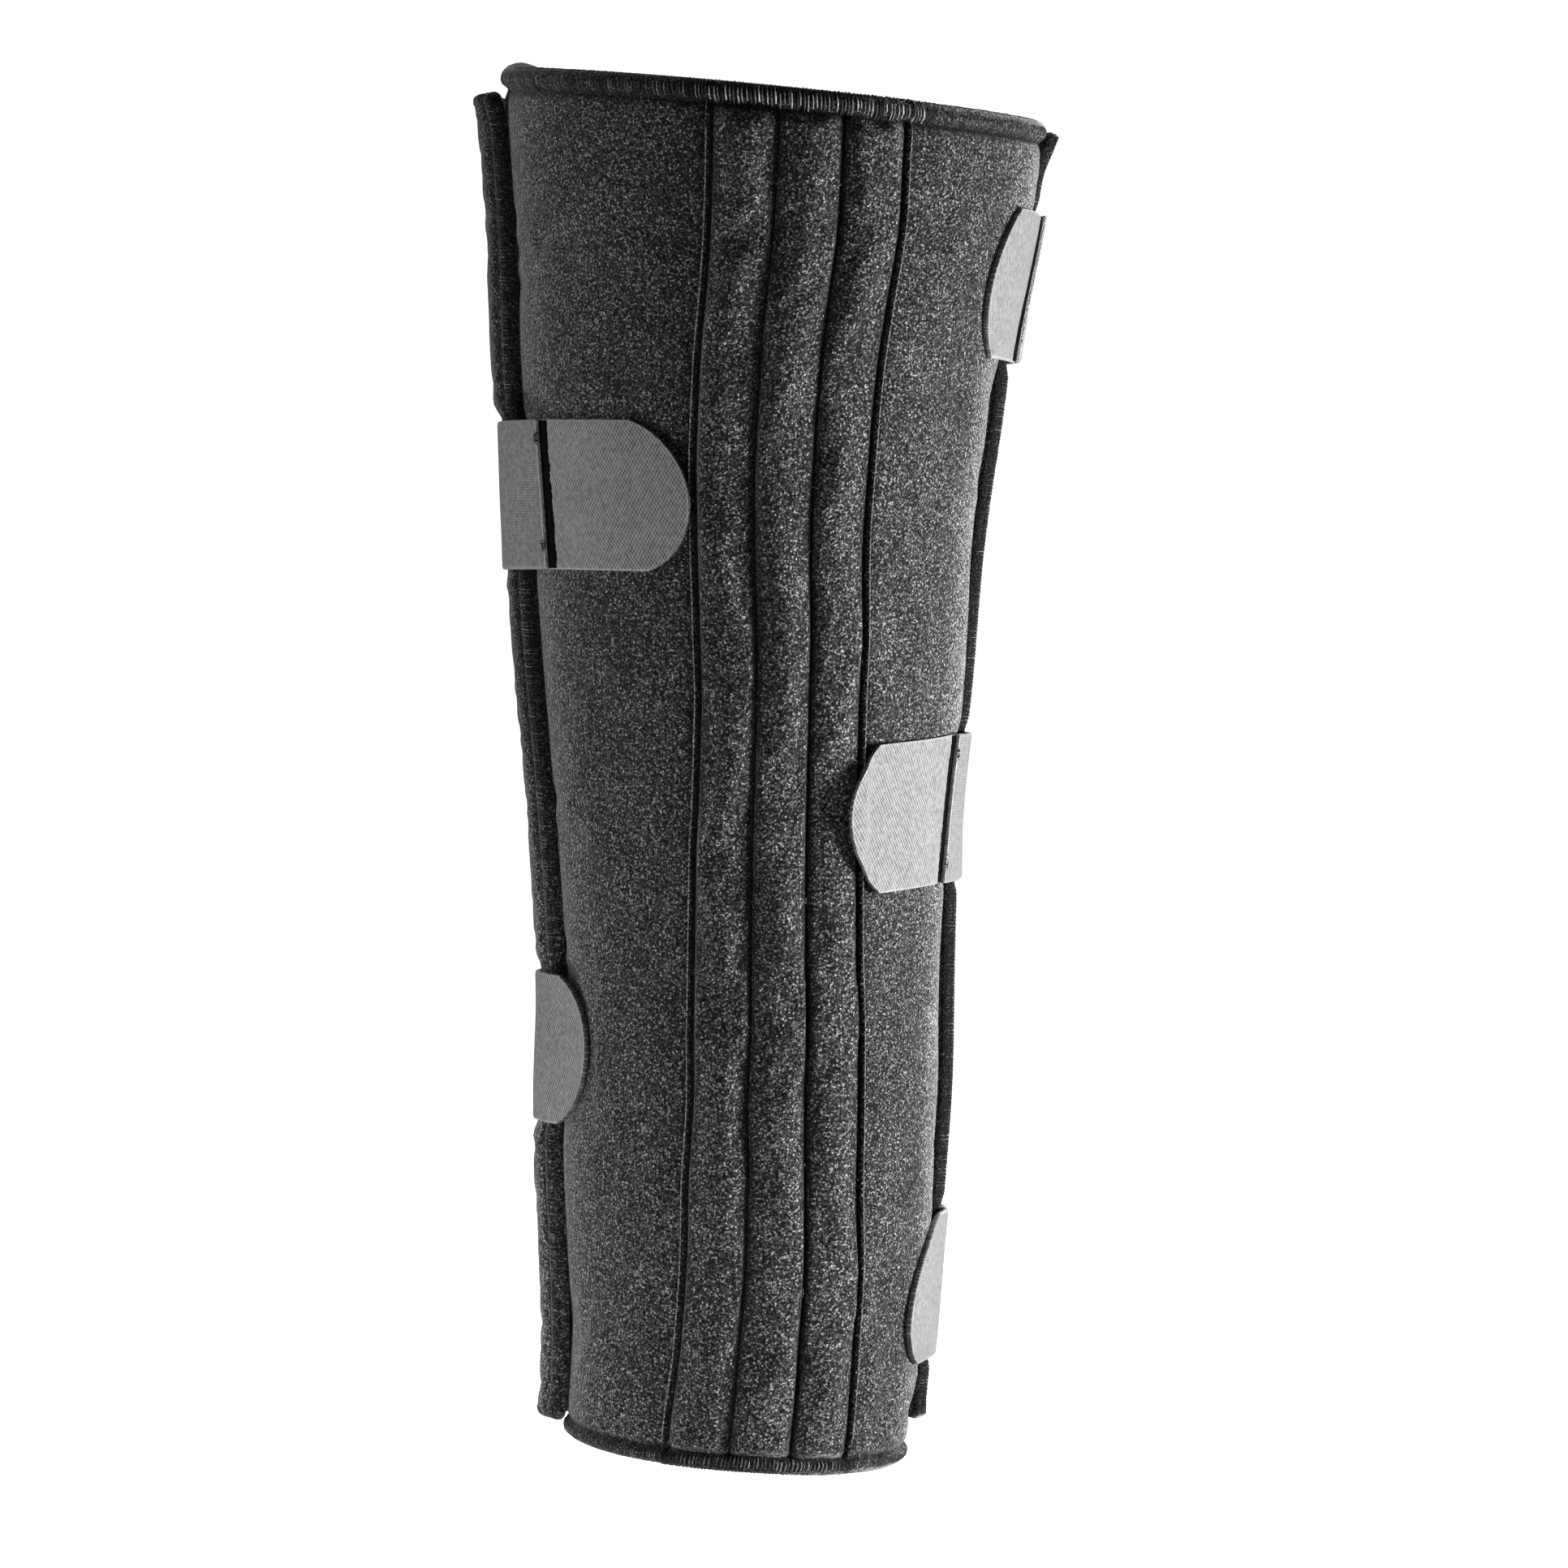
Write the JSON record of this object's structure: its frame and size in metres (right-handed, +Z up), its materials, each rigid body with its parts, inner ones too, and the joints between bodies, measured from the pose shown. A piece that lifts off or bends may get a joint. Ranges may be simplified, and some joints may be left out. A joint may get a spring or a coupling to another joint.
{
  "type": "knee immobilizer",
  "caption": "Tapered foam knee brace, open down the front, with a back panel of stay pockets, padded side panels and straps with round hook tabs.",
  "frame": {"origin": "on the axis of the hollow that the leg fills, half way between the rims", "axes": "+Z up the leg towards the wider upper rim, the back with the stay pockets faces -Y, +X is on the right seen from behind"},
  "size_m": [0.2054, 0.1808, 0.4821],
  "materials": {
    "foam_cloth": "matt laminated loop cloth over foam",
    "pocket_cloth": "matt laminated loop cloth",
    "panel_cloth": "matt laminated loop cloth over foam, overlocked edge",
    "strap_webbing": "matt brushed webbing",
    "hook_tape": "satin woven hook tape"
  },
  "bodies": {
    "root": {"foam_wrap": "foam_cloth", "stay_pocket_panel": "pocket_cloth", "side_panel_left": "panel_cloth", "side_panel_right": "panel_cloth", "strap_1": "strap_webbing", "hook_tab_1": "hook_tape", "strap_2": "strap_webbing", "hook_tab_2": "hook_tape", "strap_3": "strap_webbing", "hook_tab_3": "hook_tape", "strap_4": "strap_webbing", "hook_tab_4": "hook_tape", "strap_5": "strap_webbing", "hook_tab_5": "hook_tape"}
  },
  "joints": []
}
